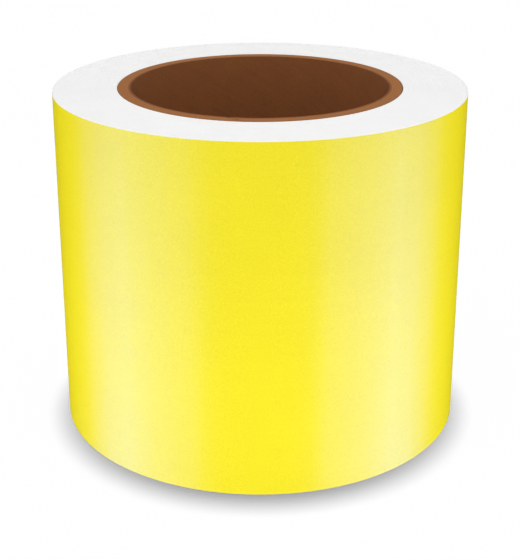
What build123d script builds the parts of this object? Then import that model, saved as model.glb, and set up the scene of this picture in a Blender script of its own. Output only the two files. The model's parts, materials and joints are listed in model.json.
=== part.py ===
"""Roll of sign vinyl: a web of yellow film on white release liner, wound on a spirally wound paperboard core.

The roll stands on its end. The origin is on the axis at the bottom face, +Z runs up the axis, and the web's
free end is held down at the back of the roll, towards +Y. Lengths are in millimetres and angles in degrees.
"""

from build123d import *
from math import degrees, pi, sqrt
import os

# Driving dimensions
WEB_WIDTH = 101.6
ROLL_RADIUS = 60.8
BORE_RADIUS = 38.1
WRAPS = 94

# Core: each ply is one strip of board, wound on a slant with its edges butted
PLY_THICKNESS = 0.635
BODY_PLIES = 4
STRIP_WIDTH = 127.0
SEAM_GAP = 0.3

# Web: the film's thickness includes its adhesive
LINER_THICKNESS = 0.09
FILM_THICKNESS = 0.105
WEB_THICKNESS = LINER_THICKNESS + FILM_THICKNESS

# Tape that holds the web's start to the core
START_TAPE_THICKNESS = 0.06
START_TAPE_LENGTH = 19.0

# Free end: the tail lifts off the roll, the film peels off its liner, and the tab holds both down
TAIL_END_ANGLE = 90.0
TAIL_ARC = 35.0
PEEL_ARC = 21.0
TAIL_SLACK = 0.1
PARTING_GAP = 0.05
TAB_THICKNESS = 0.1
TAB_SLACK = 0.06
TAB_LENGTH = 38.1
TAB_HEIGHT = 25.4
TAB_CORNER = 4.0
TAB_GRIP_ARC = 6.0
TAB_RAMP_ARC = 1.5
TAB_TRIM = 2.0

# Worked out from the driving dimensions
PLIES = BODY_PLIES + 2
CORE_RADIUS = BORE_RADIUS + PLIES * PLY_THICKNESS
WIND_RADIUS = CORE_RADIUS + START_TAPE_THICKNESS
WIND_PITCH = (ROLL_RADIUS - WIND_RADIUS - WEB_THICKNESS) / (WRAPS - 0.25)
LIFT_ANGLE = TAIL_END_ANGLE - TAIL_ARC

# The web starts and ends on this plane's X axis, which points at the line where the tail lifts off
WEB_PLANE = Plane.XY.rotated((0, 0, LIFT_ANGLE))


def wrap_centre(half_turn):
    """Local centre of a half turn: the two halves of a turn are half a pitch apart."""
    side = -1 if half_turn % 2 == 0 else 1
    return side * WIND_PITCH / 4, 0


def wrap_radius(half_turn, depth):
    """Radius of a half turn. Depth is 0 on the liner's inside and WEB_THICKNESS on the film's outside."""
    return WIND_RADIUS + WIND_PITCH / 4 + half_turn * WIND_PITCH / 2 + depth


def turn_arcs(half_turn, depth):
    """The two arcs of the whole turn that starts with this half turn."""
    turn_end = half_turn + 1
    first_arc = CenterArc(wrap_centre(half_turn), wrap_radius(half_turn, depth), 0, 180)
    second_arc = CenterArc(wrap_centre(turn_end), wrap_radius(turn_end, depth), 180, 180)
    return first_arc, second_arc


def save(part, name):
    part.label = name
    export_step(part, f"parts/{name}.step")


def make_ply(name, order):
    """One core ply: a tube with the slanted butt seam that its strip's edges leave."""
    inner = BORE_RADIUS + order * PLY_THICKNESS
    middle = inner + PLY_THICKNESS / 2
    girth = 2 * pi * middle
    lead = STRIP_WIDTH * girth / sqrt(girth**2 - STRIP_WIDTH**2)
    overrun = 5.0
    seam_start = Plane((0, 0, -overrun)).rotated((0, 0, order * 360 / PLIES))
    with BuildPart() as ply:
        with BuildSketch():
            Circle(inner + PLY_THICKNESS)
            Circle(inner, mode=Mode.SUBTRACT)
        extrude(amount=WEB_WIDTH)
        with BuildLine(seam_start) as seam:
            Helix(pitch=lead, height=WEB_WIDTH + 2 * overrun, radius=middle)
        with BuildSketch(Plane(seam.line @ 0, x_dir=seam_start.x_dir, z_dir=seam.line % 0)):
            Rectangle(2 * PLY_THICKNESS, SEAM_GAP)
        sweep(path=seam.line, is_frenet=True, mode=Mode.SUBTRACT)
    save(ply.part, name)


def make_curved_strip(name, centre, inner, outer, start, end):
    """A strip as wide as the web, curved about one centre from one angle to another."""
    with BuildPart() as strip:
        with BuildSketch(WEB_PLANE):
            with BuildLine():
                inner_edge = CenterArc(centre, inner, start, end - start)
                outer_edge = CenterArc(centre, outer, start, end - start)
                Line(inner_edge @ 0, outer_edge @ 0)
                Line(inner_edge @ 1, outer_edge @ 1)
            make_face()
        extrude(amount=WEB_WIDTH)
    save(strip.part, name)


def make_start_tape():
    """Double-sided tape on the core, under the first stretch of the web."""
    arc = degrees(START_TAPE_LENGTH / CORE_RADIUS)
    make_curved_strip("core_start_tape", (0, 0), CORE_RADIUS, WIND_RADIUS, 0, arc)


def make_wound_web():
    """All the turns but the outermost, as one solid with the web's own step inside and outside."""
    last_turn = 2 * WRAPS - 4
    with BuildPart() as web:
        with BuildSketch(WEB_PLANE):
            with BuildLine():
                outside = turn_arcs(last_turn, WEB_THICKNESS)
                add(outside)
                Line(outside[1] @ 1, outside[0] @ 0)
            make_face()
            with BuildLine():
                inside = turn_arcs(0, 0)
                add(inside)
                Line(inside[1] @ 1, inside[0] @ 0)
            make_face(mode=Mode.SUBTRACT)
        extrude(amount=WEB_WIDTH)
    save(web.part, "wound_web")


def make_outer_turn(name, inner_depth, outer_depth):
    """One layer of the outermost turn, which ends at the line where the tail lifts off."""
    last_turn = 2 * WRAPS - 2
    with BuildPart() as turn:
        with BuildSketch(WEB_PLANE):
            with BuildLine():
                inside = turn_arcs(last_turn, inner_depth)
                outside = turn_arcs(last_turn, outer_depth)
                add(inside + outside)
                Line(inside[0] @ 0, outside[0] @ 0)
                Line(inside[1] @ 1, outside[1] @ 1)
            make_face()
        extrude(amount=WEB_WIDTH)
    save(turn.part, name)


def make_tail_strip(name, inner_depth, outer_depth, start, end):
    """One layer of the free end, from one angle past the lift-off line to another."""
    half_turn = 2 * WRAPS
    inner = wrap_radius(half_turn, inner_depth) + TAIL_SLACK
    outer = wrap_radius(half_turn, outer_depth) + TAIL_SLACK
    gap_arc = degrees(PARTING_GAP / inner)
    make_curved_strip(name, wrap_centre(half_turn), inner, outer, start + gap_arc, end)


def make_closure_tab():
    """Tape that runs over the tail's end and down onto the roll, its last stretch folded double as a grip."""
    centre = wrap_centre(0)
    high = wrap_radius(2 * WRAPS, WEB_THICKNESS) + TAIL_SLACK + TAB_SLACK
    low = wrap_radius(2 * WRAPS - 2, WEB_THICKNESS) + TAB_SLACK
    reach = degrees(TAB_LENGTH / 2 / low) + TAB_TRIM
    root = TAIL_ARC - reach
    tip = TAIL_ARC + reach
    ramp_start = TAIL_ARC + degrees(PARTING_GAP / high)
    ramp_end = ramp_start + TAB_RAMP_ARC
    grip_start = tip - TAB_TRIM - TAB_GRIP_ARC
    with BuildPart() as tab:
        with BuildSketch(WEB_PLANE):
            with BuildLine():
                under_high = CenterArc(centre, high, root, ramp_start - root)
                under_low = CenterArc(centre, low, ramp_end, tip - ramp_end)
                over_high = CenterArc(centre, high + TAB_THICKNESS, root, ramp_start - root)
                over_low = CenterArc(centre, low + TAB_THICKNESS, ramp_end, grip_start - ramp_end)
                grip = CenterArc(centre, low + 2 * TAB_THICKNESS, grip_start, tip - grip_start)
                Line(under_high @ 0, over_high @ 0)
                Line(under_high @ 1, under_low @ 0)
                Line(over_high @ 1, over_low @ 0)
                Line(over_low @ 1, grip @ 0)
                Line(grip @ 1, under_low @ 1)
            make_face()
        extrude(amount=WEB_WIDTH)
        with BuildSketch(Plane((0, 0, WEB_WIDTH / 2), x_dir=(1, 0, 0), z_dir=(0, 1, 0))):
            RectangleRounded(TAB_LENGTH, TAB_HEIGHT, TAB_CORNER)
        extrude(amount=2 * ROLL_RADIUS, mode=Mode.INTERSECT)
    save(tab.part, "closure_tab")


os.makedirs("parts", exist_ok=True)

make_ply("core_inner_ply", 0)
for number in range(1, BODY_PLIES + 1):
    make_ply(f"core_body_ply_{number}", number)
make_ply("core_outer_ply", PLIES - 1)
make_start_tape()

make_wound_web()
make_outer_turn("outer_turn_liner", 0, LINER_THICKNESS)
make_outer_turn("outer_turn_film", LINER_THICKNESS, WEB_THICKNESS)

peel_start = TAIL_ARC - PEEL_ARC
make_tail_strip("tail_liner", 0, LINER_THICKNESS, 0, TAIL_ARC)
make_tail_strip("tail_film", LINER_THICKNESS, WEB_THICKNESS, 0, peel_start)
make_tail_strip("peel_end_film", LINER_THICKNESS, WEB_THICKNESS, peel_start, TAIL_ARC)
make_closure_tab()
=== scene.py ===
"""Looks for a roll of sign vinyl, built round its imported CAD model.

The roll stands on its end: the origin is on its axis at the bottom face, +Z runs up the axis, and the web's
free end is at the back, towards +Y. Lengths are in metres and angles in radians, and depths in the web run
outwards from the liner's inner face.
"""

import json
import math

import bpy
import numpy as np
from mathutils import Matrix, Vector


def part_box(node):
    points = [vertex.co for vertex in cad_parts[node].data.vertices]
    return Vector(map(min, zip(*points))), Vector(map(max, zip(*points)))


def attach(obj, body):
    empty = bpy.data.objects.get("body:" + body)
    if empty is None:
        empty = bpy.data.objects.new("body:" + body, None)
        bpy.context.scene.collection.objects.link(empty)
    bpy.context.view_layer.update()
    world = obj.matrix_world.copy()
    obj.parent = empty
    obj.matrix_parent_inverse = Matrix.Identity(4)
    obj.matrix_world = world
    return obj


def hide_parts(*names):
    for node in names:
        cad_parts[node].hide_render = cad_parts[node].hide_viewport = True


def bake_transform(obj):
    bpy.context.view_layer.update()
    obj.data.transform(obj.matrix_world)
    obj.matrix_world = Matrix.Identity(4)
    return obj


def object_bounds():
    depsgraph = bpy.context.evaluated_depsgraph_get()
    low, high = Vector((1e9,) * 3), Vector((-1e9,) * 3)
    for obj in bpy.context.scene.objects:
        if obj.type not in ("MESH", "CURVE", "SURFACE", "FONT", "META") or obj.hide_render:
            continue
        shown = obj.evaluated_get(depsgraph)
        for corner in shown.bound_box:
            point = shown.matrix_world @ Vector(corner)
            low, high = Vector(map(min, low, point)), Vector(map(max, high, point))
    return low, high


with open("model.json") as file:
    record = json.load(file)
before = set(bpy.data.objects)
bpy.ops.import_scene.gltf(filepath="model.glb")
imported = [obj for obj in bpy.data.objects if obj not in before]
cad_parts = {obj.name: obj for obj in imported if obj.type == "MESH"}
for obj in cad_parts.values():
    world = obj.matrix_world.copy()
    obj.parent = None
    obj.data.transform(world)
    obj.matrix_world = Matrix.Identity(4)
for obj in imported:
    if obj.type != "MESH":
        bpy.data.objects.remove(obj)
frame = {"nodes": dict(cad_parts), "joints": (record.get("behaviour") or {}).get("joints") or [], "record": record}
cad_low, cad_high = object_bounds()

MM = 0.001
TURN = 2 * math.pi

# -------------------------------------------------------------------------------- sizes from the frame

joints = {joint["name"]: Vector(joint["pos_m"]) for joint in frame["joints"]}
mounts = {mount["name"]: mount for mount in frame["record"]["mounts"]}


def angle_of(point):
    return math.atan2(point[1], point[0])


def radius_of(point):
    return math.hypot(point[0], point[1])


def reach_left(node):
    """How far a node that runs round the axis reaches towards -X."""
    return -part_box(node)[0].x


bore_radius = mounts["core_bore"]["dims"]["r_mm"] * MM
core_radius = reach_left("core_outer_ply")
web_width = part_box("wound_web")[1].z

lift_angle = angle_of(joints["tail_lift"])
peel_angle = angle_of(joints["film_peel"])
tail_end_angle = TURN / 4

film_thickness = reach_left("outer_turn_film") - reach_left("outer_turn_liner")
pitch = reach_left("outer_turn_film") - reach_left("wound_web")

# The start tape begins at the lift-off angle. Its outer corner there is its furthest point towards +X, and
# lies on the radius that the web is wound from.
wind_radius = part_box("core_start_tape")[1].x / math.cos(lift_angle)

# The turns lie a few microns apart, so the liner is what the film and that gap leave of the pitch.
TURN_GAP = 0.004 * MM
liner_thickness = pitch - film_thickness - TURN_GAP
web_thickness = liner_thickness + film_thickness
turns = math.ceil((reach_left("outer_turn_film") - web_thickness - wind_radius) / pitch)
tail_slack = radius_of(joints["tail_lift"]) - wind_radius - turns * pitch - web_thickness

# -------------------------------------------------------------------------------- mesh building

SHARP_ANGLE = math.radians(30)


def make_piece(name, sections, paint, materials):
    """A closed solid through a row of sections, with a cap on the first and the last.

    sections is an array of sections x points x 3, and paint says which material each side of a section takes.
    The caps take the last material.
    """
    count, points = sections.shape[:2]
    corner = np.arange(count * points).reshape(count, points)
    after = np.roll(corner, -1, axis=1)
    sides = np.stack([corner[:-1], after[:-1], after[1:], corner[1:]], axis=-1).reshape(-1, 4)
    caps = [corner[0][::-1].tolist(), corner[-1].tolist()]
    mesh = bpy.data.meshes.new(name)
    mesh.from_pydata(sections.reshape(-1, 3).tolist(), [], sides.tolist() + caps)
    for material in materials:
        mesh.materials.append(material)
    paints = np.concatenate([np.tile(paint, count - 1), [len(materials) - 1] * 2]).astype(np.int32)
    mesh.polygons.foreach_set("material_index", paints)
    mesh.shade_smooth()
    mesh.set_sharp_from_angle(angle=SHARP_ANGLE)
    mesh.validate()
    piece = bpy.data.objects.new(name, mesh)
    bpy.context.scene.collection.objects.link(piece)
    return piece


def around(angles, radii, heights):
    """Points at angles round the axis, for arrays that broadcast together."""
    angles, radii, heights = np.broadcast_arrays(angles, radii, heights)
    return np.stack([radii * np.cos(angles), radii * np.sin(angles), heights], axis=-1)


def ease(share):
    """0 to 1 with a level start and end."""
    share = np.clip(share, 0, 1)
    return share * share * (3 - 2 * share)


# -------------------------------------------------------------------------------- the web

# The web is a little narrower than the CAD solids, so that its turns can wander and stay inside them. The
# film is slit a little deeper than the liner.
EDGE_TRIM = 0.07 * MM
FILM_RECESS = 0.02 * MM
CUT_BEVEL = 0.018 * MM

# The turns' wander is the sum of three waves, each with its share, its radians a turn and where it starts.
WANDER = 0.045 * MM
WANDER_WAVES = [(0.5, 0.83, 0), (0.3, 2.9, 1), (0.2, 7.7, 2)]

# The arc past the lift-off line over which the tail comes to stand off the roll.
SLACK_ARC = math.radians(4)

# Sections in each turn.
WOUND_STEPS = 120
OUTER_STEPS = 720
TAIL_STEPS = 1440


def wander(turn):
    """How far the web wandered sideways as it was wound, which leaves its edges at different heights."""
    return WANDER * sum(share * np.sin(pace * turn + start) for share, pace, start in WANDER_WAVES)


def slack(turn):
    """The tail stands a little off the roll, and comes down to it at the line where it lifts off."""
    return tail_slack * ease((turn - turns) * TURN / SLACK_ARC)


def web_sections(first, last, steps, inner_depth, outer_depth, recess=0.0, bevel=0.0):
    """Sections of one layer of the web, from one turn to another and from one depth to another.

    recess is how far the layer's edges lie inside the liner's. Each corner is bevelled, if bevel isn't 0.
    """
    turn = np.linspace(first, last, max(2, round((last - first) * steps) + 1))[:, None]
    base = wind_radius + pitch * turn + slack(turn)
    low = EDGE_TRIM + recess
    high = web_width - EDGE_TRIM - recess
    if bevel:
        depths = [outer_depth, outer_depth, outer_depth - bevel, inner_depth + bevel,
                  inner_depth, inner_depth, inner_depth + bevel, outer_depth - bevel]
        heights = [low + bevel, high - bevel, high, high, high - bevel, low + bevel, low, low]
    else:
        depths = [outer_depth, outer_depth, inner_depth, inner_depth]
        heights = [low, high, high, low]
    return around(lift_angle + TURN * turn, base + np.array(depths), np.array(heights) + wander(turn))


# Which material each side of a bevelled section takes: the outside, the inside, and the cut edges.
FACE, BACK, EDGE = 0, 1, 2
BEVELLED_PAINT = [FACE, EDGE, EDGE, EDGE, BACK, EDGE, EDGE, EDGE]

# -------------------------------------------------------------------------------- materials


class Shading:
    """One material's node tree, with short calls that return the output socket of each node they add."""

    def __init__(self, name, roughness, specular):
        self.material = bpy.data.materials.new(name)
        self.material.use_nodes = True
        self.tree = self.material.node_tree
        self.shader = self.tree.nodes["Principled BSDF"]
        self.shader.inputs["Specular IOR Level"].default_value = specular
        self.shader.inputs["Roughness"].default_value = roughness

    def add(self, kind, output, inputs, **settings):
        node = self.tree.nodes.new(kind)
        for name, value in settings.items():
            setattr(node, name, value)
        for socket, value in inputs.items():
            if isinstance(value, bpy.types.NodeSocket):
                self.tree.links.new(value, node.inputs[socket])
            else:
                node.inputs[socket].default_value = value
        return node.outputs[output]

    def place(self):
        """The point on the object, in metres."""
        return self.add("ShaderNodeTexCoord", "Object", {})

    def math(self, operation, first, second=0.0):
        return self.add("ShaderNodeMath", "Value", {0: first, 1: second}, operation=operation)

    def joined(self, x, y, z):
        return self.add("ShaderNodeCombineXYZ", "Vector", {"X": x, "Y": y, "Z": z})

    def split(self, axis):
        return self.add("ShaderNodeSeparateXYZ", axis, {"Vector": self.place()})

    def radius(self):
        """Distance from the axis."""
        flat = self.joined(self.split("X"), self.split("Y"), 0.0)
        return self.add("ShaderNodeVectorMath", "Value", {0: flat}, operation="LENGTH")

    def angle(self):
        return self.math("ARCTAN2", self.split("Y"), self.split("X"))

    def noise(self, vector, size, detail=0.0):
        """Smooth noise about 0.5, with features of that size."""
        inputs = {"Vector": vector, "Scale": 1 / size, "Detail": detail}
        return self.add("ShaderNodeTexNoise", "Fac", inputs)

    def rings(self, size, detail=0.0):
        """Noise that changes with distance from the axis alone, as one turn differs from the next."""
        inputs = {"W": self.radius(), "Scale": 1 / size, "Detail": detail}
        return self.add("ShaderNodeTexNoise", "Fac", inputs, noise_dimensions="1D")

    def blend(self, *parts):
        """Weighted sum of (weight, socket) parts."""
        total = 0.0
        for weight, socket in parts:
            inputs = {0: socket, 1: weight, 2: total}
            total = self.add("ShaderNodeMath", "Value", inputs, operation="MULTIPLY_ADD")
        return total

    def colour(self, level, colour, spread):
        """Colours the surface, from spread below that colour at level 0 to spread above it at level 1."""
        ramp = self.tree.nodes.new("ShaderNodeValToRGB")
        for stop, change in zip(ramp.color_ramp.elements, (1 - spread, 1 + spread)):
            stop.color = [min(1.0, part * change) for part in colour] + [1]
        self.tree.links.new(level, ramp.inputs["Fac"])
        self.tree.links.new(ramp.outputs["Color"], self.shader.inputs["Base Color"])

    def rough(self, level, low, high):
        inputs = {"Value": level, "To Min": low, "To Max": high}
        self.tree.links.new(self.add("ShaderNodeMapRange", "Result", inputs), self.shader.inputs["Roughness"])

    def bump(self, height, depth, strength=1.0):
        """Raises the surface by up to depth where height is 1."""
        inputs = {"Height": height, "Distance": depth, "Strength": strength}
        self.tree.links.new(self.add("ShaderNodeBump", "Normal", inputs), self.shader.inputs["Normal"])


# The fine grain that the film, the web's edges and the core's board share.
GRAIN = 0.45 * MM

# The film's faint lines run along the web, round the roll, so their noise is drawn out that way.
LINE_STRETCH = (0.02, 0.02, 1.0)

YELLOW = (0.84, 0.724, 0.002)
VINYL_WHITE = (0.93, 0.93, 0.93)
PAPER_WHITE = (0.92, 0.92, 0.915)
BOARD = (0.35, 0.132, 0.034)
# The inner ply's colour is partly brown kraft and partly painted shade: it is darkened so that the bore reads as
# shaded.
LINING_WITH_PAINTED_SHADE = (0.238, 0.084, 0.024)
TAPE_WHITE = (0.80, 0.79, 0.75)
CREAM = (0.62, 0.52, 0.34)
ADHESIVE_CREAM = (0.74, 0.72, 0.58)


def yellow_film():
    """Satin vinyl face: fine matt grain, faint lines along the web and slow changes in depth of colour."""
    shading = Shading("yellow_film", roughness=0.29, specular=0.5)
    grain = shading.noise(shading.place(), size=GRAIN, detail=1.0)
    mottle = shading.noise(shading.place(), size=22 * MM, detail=2.0)
    long_way = shading.add(
        "ShaderNodeVectorMath", "Vector", {0: shading.place(), 1: LINE_STRETCH}, operation="MULTIPLY"
    )
    lines = shading.noise(long_way, size=1.6 * MM, detail=1.0)
    shading.colour(shading.blend((0.7, grain), (0.22, mottle), (0.08, lines)), YELLOW, spread=0.14)
    shading.rough(shading.blend((0.75, grain), (0.25, lines)), low=0.26, high=0.32)
    shading.bump(shading.blend((0.85, grain), (0.15, lines)), depth=0.004 * MM)
    return shading.material


def web_edge(name, colour, roughness):
    """Slit edge of the film or the liner, where each turn differs a little from the next."""
    shading = Shading(name, roughness=roughness, specular=0.25)
    rings = shading.rings(size=pitch * 2.5, detail=2.0)
    grain = shading.noise(shading.place(), size=GRAIN, detail=1.0)
    broad = shading.noise(shading.place(), size=9 * MM, detail=1.0)
    shading.colour(shading.blend((0.4, rings), (0.4, grain), (0.2, broad)), colour, spread=0.075)
    shading.rough(rings, low=roughness - 0.06, high=roughness + 0.06)
    return shading.material


def white_paper(name, roughness, depth):
    """A side of the release liner: fine fibre, cloudy where the sheet is thicker."""
    shading = Shading(name, roughness=roughness, specular=0.4)
    fibre = shading.noise(shading.place(), size=0.3 * MM, detail=3.0)
    cloud = shading.noise(shading.place(), size=6 * MM, detail=2.0)
    shading.colour(shading.blend((0.5, fibre), (0.5, cloud)), PAPER_WHITE, spread=0.05)
    shading.rough(cloud, low=roughness - 0.05, high=roughness + 0.05)
    shading.bump(fibre, depth=depth)
    return shading.material


def adhesive():
    """Clear adhesive on the film's back, with the faint orange peel that the liner leaves in it."""
    shading = Shading("adhesive", roughness=0.5, specular=0.3)
    peel = shading.noise(shading.place(), size=1.1 * MM, detail=1.0)
    cloud = shading.noise(shading.place(), size=12 * MM, detail=1.0)
    shading.colour(shading.blend((0.5, peel), (0.5, cloud)), ADHESIVE_CREAM, spread=0.06)
    shading.rough(peel, low=0.44, high=0.56)
    shading.bump(peel, depth=0.01 * MM)
    return shading.material


# The core's nodes, from the bore outwards, and the board strip that each one is wound from. The fibre is
# drawn out along the strip.
BODY_PLIES = 4
body_nodes = [f"core_body_ply_{number + 1}" for number in range(BODY_PLIES)]
CORE_NODES = ["core_inner_ply", *body_nodes, "core_outer_ply"]
STRIP_WIDTH = 127 * MM
FIBRE_STRETCH = 0.06
LINING_SPREAD = 0.45
BOARD_SPREAD = 0.3
ply_thickness = (core_radius - bore_radius) / len(CORE_NODES)


def board(name, order, colour, spread):
    """A core ply: fibres along its slanted strip, with fine flecks, and cloudy like all paperboard."""
    shading = Shading(name, roughness=0.8, specular=0.2)
    girth = TURN * (bore_radius + (order + 0.5) * ply_thickness)
    lead = STRIP_WIDTH * girth / math.sqrt(girth**2 - STRIP_WIDTH**2)
    climb = shading.math("MULTIPLY", shading.angle(), lead / TURN)
    start = order * lead / len(CORE_NODES)
    across = shading.math("FLOORED_MODULO", shading.math("SUBTRACT", shading.split("Z"), climb), lead)
    across = shading.math("ADD", across, start)
    along = shading.math("MULTIPLY", shading.split("Z"), FIBRE_STRETCH)
    strip = shading.joined(across, along, shading.radius())
    fibre = shading.noise(strip, size=0.7 * MM, detail=3.0)
    fleck = shading.noise(shading.place(), size=GRAIN, detail=2.0)
    cloud = shading.noise(shading.place(), size=7 * MM, detail=2.0)
    shading.colour(shading.blend((0.25, fibre), (0.55, fleck), (0.2, cloud)), colour, spread=spread)
    shading.rough(fleck, low=0.72, high=0.88)
    shading.bump(shading.blend((0.6, fibre), (0.4, fleck)), depth=0.03 * MM)
    return shading.material


def start_tape():
    """Plain paper tape, hidden under the first stretch of the web."""
    shading = Shading("start_tape", roughness=0.5, specular=0.4)
    fibre = shading.noise(shading.place(), size=0.5 * MM, detail=2.0)
    shading.colour(fibre, CREAM, spread=0.08)
    shading.bump(fibre, depth=0.01 * MM)
    return shading.material


# The tape's creped ridges stand upright. Their width is an angle round the axis, and their length a height.
RIDGE_WIDTH = 0.008
RIDGE_LENGTH = 4 * MM


def closure_tape():
    """Creped paper tape: fine ridges up and down, across its length."""
    shading = Shading("closure_tape", roughness=0.6, specular=0.35)
    height = shading.math("MULTIPLY", shading.split("Z"), RIDGE_WIDTH / RIDGE_LENGTH)
    crepe = shading.noise(shading.joined(shading.angle(), height, 0.0), size=RIDGE_WIDTH, detail=2.0)
    fibre = shading.noise(shading.place(), size=0.35 * MM, detail=2.0)
    shading.colour(shading.blend((0.5, crepe), (0.5, fibre)), TAPE_WHITE, spread=0.08)
    shading.rough(crepe, low=0.52, high=0.68)
    shading.bump(shading.blend((0.8, crepe), (0.2, fibre)), depth=0.04 * MM)
    return shading.material


yellow_face = yellow_film()
film_edge = web_edge("film_edge", VINYL_WHITE, roughness=0.5)
liner_edge = web_edge("liner_edge", PAPER_WHITE, roughness=0.75)
film_back = adhesive()
liner_face = white_paper("liner_release_face", roughness=0.3, depth=0.004 * MM)
liner_back = white_paper("liner_back", roughness=0.7, depth=0.012 * MM)
tape = closure_tape()

FILM = [yellow_face, film_back, film_edge]
LINER = [liner_face, liner_back, liner_edge]

# -------------------------------------------------------------------------------- the pieces


def film(name, first, last, steps):
    """A stretch of the yellow film. It casts no yellow on what is round it."""
    sections = web_sections(first, last, steps, liner_thickness, web_thickness, FILM_RECESS, CUT_BEVEL)
    piece = make_piece(name, sections, BEVELLED_PAINT, FILM)
    piece.visible_diffuse = False
    return piece


def liner(name, first, last, steps):
    """A stretch of the release liner."""
    sections = web_sections(first, last, steps, 0, liner_thickness, 0, CUT_BEVEL)
    piece = make_piece(name, sections, BEVELLED_PAINT, LINER)
    return piece


def turn_at(angle):
    """The turn that the free end has reached at an angle round the axis."""
    return turns + (angle - lift_angle) / TURN


def make_wound_turns():
    """All the turns but the outermost. Only their edges show, so each layer is the colour of its edge."""
    layers = [
        ("wound_film", liner_thickness, web_thickness, FILM_RECESS, film_edge, "wound_edge"),
        ("wound_liner", 0, liner_thickness, 0, liner_edge, "release_paper"),
    ]
    for name, inner, outer, recess, material, slot in layers:
        sections = web_sections(0, turns - 1, WOUND_STEPS, inner, outer, recess)
        piece = make_piece(name, sections, [0] * 4, [material])
        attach(piece, "roll")
        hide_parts("wound_web")


def make_outer_turn():
    """The outermost turn, which ends at the line where the tail lifts off."""
    outer_liner = liner("outer_liner", turns - 1, turns, OUTER_STEPS)
    outer_film = film("outer_film", turns - 1, turns, OUTER_STEPS)
    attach(outer_liner, "roll")
    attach(outer_film, "roll")
    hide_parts("outer_turn_liner")
    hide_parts("outer_turn_film")


def make_tail():
    """The free end: its liner, the film that stays on it, and the film's last stretch that peels off."""
    last = turn_at(tail_end_angle)
    peel = turn_at(peel_angle)
    tail_liner = liner("tail_liner_sheet", turns, last, TAIL_STEPS)
    tail_film = film("tail_film_sheet", turns, peel, TAIL_STEPS)
    film_end = film("film_end_sheet", peel, last, TAIL_STEPS)
    for piece, node in ((tail_liner, "tail_liner"), (tail_film, "tail_film")):
        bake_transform(piece)
        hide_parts(node)
    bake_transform(film_end)
    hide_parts("peel_end_film")


# The tab's tape ramps down from the tail's end to the roll, and its last stretch is folded back as a grip.
TAB_THICKNESS = 0.1 * MM
TAB_CLEARANCE = 0.02 * MM
TAB_CORNER = 4 * MM
TAB_RAMP = 1.8 * MM
TAB_GRIP = 6.4 * MM
FOLD_RADIUS = 0.07 * MM
TAB_STEPS = 150
GRIP_STEPS = 37
FOLD_STEPS = 12


def tab_path(surface, root_run, tip_run):
    """The middle of the tape along its length, as three arrays.

    They are how far it runs round the tail's outside, its distance from the axis, and how far it leans over,
    which is half a turn where it is folded back.
    """
    drop = tail_slack + web_thickness
    end_run = surface * tail_end_angle

    def height_at(run):
        return surface + TAB_CLEARANCE + TAB_THICKNESS / 2 - drop * ease((run - end_run) / TAB_RAMP)

    fold_run = tip_run - FOLD_RADIUS
    fold_height = height_at(tip_run) + FOLD_RADIUS
    first_runs = np.linspace(root_run, fold_run, TAB_STEPS)
    bend = np.linspace(-TURN / 4, TURN / 4, FOLD_STEPS + 1)[1:-1]
    back_runs = np.linspace(fold_run, tip_run - TAB_GRIP, GRIP_STEPS)
    runs = np.concatenate([first_runs, fold_run + FOLD_RADIUS * np.cos(bend), back_runs])
    fold_heights = fold_height + FOLD_RADIUS * np.sin(bend)
    heights = np.concatenate([height_at(first_runs), fold_heights, height_at(back_runs) + 2 * FOLD_RADIUS])
    lean = np.concatenate([np.zeros(TAB_STEPS), bend + TURN / 4, np.full(GRIP_STEPS, TURN / 2)])
    return runs, heights, lean


def half_height_at(x, low, high):
    """Half the tab's height at a place along it, less near its two ends, where its corners are round."""
    into_corner = np.clip(np.abs(x) - ((high.x - low.x) / 2 - TAB_CORNER), 0, TAB_CORNER)
    return (high.z - low.z) / 2 - TAB_CORNER + np.sqrt(TAB_CORNER**2 - into_corner**2)


def make_tab():
    """Paper tape over the tail's end and down onto the roll, its last stretch folded back as a grip."""
    low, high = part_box("closure_tab")
    surface = wind_radius + pitch * turns + web_thickness + tail_slack
    root_run = surface * math.acos(high.x / surface)
    tip_run = surface * math.acos(low.x / surface)
    runs, heights, lean = tab_path(surface, root_run, tip_run)
    half_height = half_height_at(surface * np.cos(runs / surface), low, high)
    side = TAB_THICKNESS / 2 * np.array([1, 1, -1, -1])
    level = np.array([-1, 1, 1, -1])
    section_runs = runs[:, None] + side * np.sin(lean)[:, None]
    section_heights = heights[:, None] + side * np.cos(lean)[:, None]
    section_levels = (high.z + low.z) / 2 + level * half_height[:, None]
    sections = around(section_runs / surface, section_heights, section_levels)
    tab = make_piece("closure_tape_tab", sections, [0] * 4, [tape])
    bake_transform(tab)
    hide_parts("closure_tab")


def give_finish(node, material):
    """Puts a material on a CAD node that is carried over."""
    mesh = frame["nodes"][node].data
    mesh.materials.clear()
    mesh.materials.append(material)


def finish_core():
    """The core's plies and its start tape keep their CAD meshes."""
    for order, node in enumerate(CORE_NODES):
        # The inner ply takes the lining colour, which is darkened with painted shade for the bore.
        colour, spread = (BOARD, BOARD_SPREAD) if order else (LINING_WITH_PAINTED_SHADE, LINING_SPREAD)
        give_finish(node, board(f"{node}_board", order, colour, spread))
    give_finish("core_start_tape", start_tape())


FILM_PIECES = ["outer_film", "tail_film_sheet", "film_end_sheet"]

make_wound_turns()
make_outer_turn()
make_tail()
make_tab()
finish_core()

# -------------------------------------------------------------------------------- floor, light and camera

scene = bpy.context.scene
scene.view_settings.view_transform = "Standard"

# The floor is dark in itself, and its own lights bring it to the white of the surroundings.
FLOOR_REACH = 12.0
FLOOR_WHITE = 0.06
SKY = 1.06
WHITE = (1, 1, 1)


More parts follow.
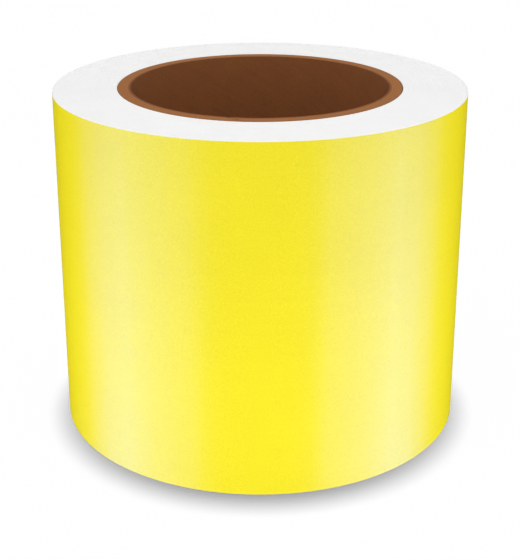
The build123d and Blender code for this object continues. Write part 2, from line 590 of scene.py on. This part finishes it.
def make_floor():
    """A plain floor that only the camera sees, so that the roll is lit as evenly from below as from above."""
    corners = [(-FLOOR_REACH, -FLOOR_REACH, 0), (FLOOR_REACH, -FLOOR_REACH, 0),
               (FLOOR_REACH, FLOOR_REACH, 0), (-FLOOR_REACH, FLOOR_REACH, 0)]
    mesh = bpy.data.meshes.new("floor")
    mesh.from_pydata(corners, [], [(0, 1, 2, 3)])
    floor = bpy.data.objects.new("floor", mesh)
    shading = Shading("floor", roughness=0.9, specular=0.0)
    shading.colour(shading.noise(shading.place(), size=0.2, detail=1.0), [FLOOR_WHITE] * 3, spread=0.01)
    mesh.materials.append(shading.material)
    scene.collection.objects.link(floor)
    floor.visible_diffuse = False
    floor.visible_glossy = False
    floor.visible_shadow = False
    return floor


def make_sky():
    """Even white surroundings, which give no reflections."""
    world = bpy.data.worlds.new("sky")
    scene.world = world
    world.use_nodes = True
    backdrop = world.node_tree.nodes["Background"]
    backdrop.inputs["Color"].default_value = (*WHITE, 1)
    backdrop.inputs["Strength"].default_value = SKY
    world.cycles_visibility.glossy = False


def aim(thing, target):
    """Points a light at a target."""
    thing.rotation_mode = "QUATERNION"
    thing.rotation_quaternion = (Vector(target) - thing.location).to_track_quat("-Z", "Y")


def make_light(name, kind, energy, location, target, **settings):
    data = bpy.data.lights.new(name, kind)
    data.energy = energy
    for setting, value in settings.items():
        setattr(data, setting, value)
    light = bpy.data.objects.new(name, data)
    light.location = location
    aim(light, target)
    scene.collection.objects.link(light)
    return light


# The floor's light: a sun that stands a little behind the roll, so that the roll's shadow shows in front of
# it, and a fill that the roll doesn't block.
FLOOR_SUN = 32.8
FLOOR_SUN_ANGLE = math.radians(7)
FLOOR_SUN_LEAN = math.radians(3)
FLOOR_FILL = 16.1

# The softboxes stand in rows and columns on both sides of the roll, and each beam is narrow and falls on the
# camera's side of it. A row has its drop below the level, in degrees, and its power. A column has how far it
# is round from the camera's side, in degrees, and its share of that power.
SOFTBOX_ROWS = [(16, 0.0065), (24, 0.0075), (33, 0.0105)]
SOFTBOX_COLUMNS = [(43, 0.6), (56, 0.7), (69, 0.8), (82, 1.0), (95, 0.65), (108, 0.25)]
SOFTBOX_DISTANCE = 0.6
SOFTBOX_OFFSET = 0.075
SOFTBOX_SPREAD = math.radians(12)
SOFTBOX_WIDTH = 0.12
SOFTBOX_HEIGHT = 0.3
SOFTBOX_TINT = (0.08, 0.26, 1.0)

# The side lights are softboxes too, and keep the roll's outline as bright as its middle. These are how far
# round they stand and how far down, in degrees, and their power.
SIDE_LIGHT = (135, 35, 0.06)

# The low lights: a ring of them round the roll, which brightens its lower half.
LOW_LIGHTS = 24
LOW_LIGHT_RING = 0.131
LOW_LIGHT_LEVEL = 0.025
LOW_LIGHT_HEIGHT = 0.005
LOW_LIGHT_POWER = 0.0027


def only(name, *things):
    """A collection that lights can be linked to, so that they light nothing else."""
    group = bpy.data.collections.new(name)
    for thing in things:
        group.objects.link(thing)
    return group


def make_lights(floor, film_pieces):
    """The floor's two lights light the floor alone, and all the others light the film alone."""
    middle = (cad_low + cad_high) / 2
    fill = make_light("floor_fill", "SUN", FLOOR_FILL, middle + Vector((0, 0, 1)), middle, use_shadow=False)
    overhead = make_light(
        "floor_sun", "SUN", FLOOR_SUN, middle + Vector((0, math.tan(FLOOR_SUN_LEAN), 1)), middle,
        angle=FLOOR_SUN_ANGLE,
    )
    floor_only = only("floor_only", floor)
    fill.light_linking.receiver_collection = floor_only
    overhead.light_linking.receiver_collection = floor_only
    film_only = only("film_only", *film_pieces)
    for side in (-1, 1):
        for drop, power in SOFTBOX_ROWS:
            for azimuth, share in SOFTBOX_COLUMNS:
                softbox = make_softbox(side, azimuth, drop, share * power, film_only, SOFTBOX_TINT)
                softbox.visible_diffuse = False
        side_light = make_softbox(side, *SIDE_LIGHT, film_only, WHITE)
        side_light.visible_glossy = False
    for number in range(LOW_LIGHTS):
        make_low_light(number, film_only)


def make_softbox(side, azimuth, drop, power, film_only, tint):
    """A softbox on one side of the roll, that far round from the camera's side and that far down."""
    turned = math.radians(azimuth)
    dropped = math.radians(drop)
    outward = Vector((side * math.sin(turned), -math.cos(turned), 0))
    backward = Vector((side * math.cos(turned), math.sin(turned), 0))
    target = (cad_low + cad_high) / 2 - SOFTBOX_OFFSET * backward
    place = target + SOFTBOX_DISTANCE * (math.cos(dropped) * outward - Vector((0, 0, math.sin(dropped))))
    softbox = make_light(
        f"softbox_{side * azimuth}_{drop}", "AREA", power, place, target, shape="RECTANGLE",
        size=SOFTBOX_WIDTH, size_y=SOFTBOX_HEIGHT, spread=SOFTBOX_SPREAD, color=tint,
    )
    softbox.visible_camera = False
    softbox.light_linking.receiver_collection = film_only
    return softbox


def make_low_light(number, film_only):
    """One of the ring of lights that stand low round the roll and face its axis."""
    turned = TURN * number / LOW_LIGHTS
    level = Vector((0, 0, LOW_LIGHT_LEVEL))
    place = level + LOW_LIGHT_RING * Vector((math.cos(turned), math.sin(turned), 0))
    low_light = make_light(
        f"low_light_{number}", "AREA", LOW_LIGHT_POWER, place, level, shape="RECTANGLE",
        size=TURN * LOW_LIGHT_RING / LOW_LIGHTS, size_y=LOW_LIGHT_HEIGHT,
    )
    low_light.visible_glossy = False
    low_light.visible_camera = False
    low_light.light_linking.receiver_collection = film_only


# The camera's place is in roll radii, its lens and sensor are in millimetres, and its clipping distances are
# in metres.
CAMERA_BACK = 5.864
CAMERA_UP = 3.086
CAMERA_PITCH = math.radians(19.51)
CAMERA_LENS = 79.31
CAMERA_SENSOR = 36
CAMERA_SHIFT = -0.12
CAMERA_CLIP = (0.01, 100)


def make_camera():
    """The camera stands in front of the roll and above it, and looks down on it."""
    radius = (cad_high.x - cad_low.x) / 2
    data = bpy.data.cameras.new("camera")
    data.lens = CAMERA_LENS
    data.sensor_width = CAMERA_SENSOR
    data.shift_y = CAMERA_SHIFT
    data.clip_start, data.clip_end = CAMERA_CLIP
    camera = bpy.data.objects.new("camera", data)
    camera.location = (0, -CAMERA_BACK * radius, CAMERA_UP * radius)
    camera.rotation_euler = (TURN / 4 - CAMERA_PITCH, 0, 0)
    scene.collection.objects.link(camera)
    scene.camera = camera


make_sky()
make_lights(make_floor(), [bpy.data.objects[name] for name in FILM_PIECES])
make_camera()
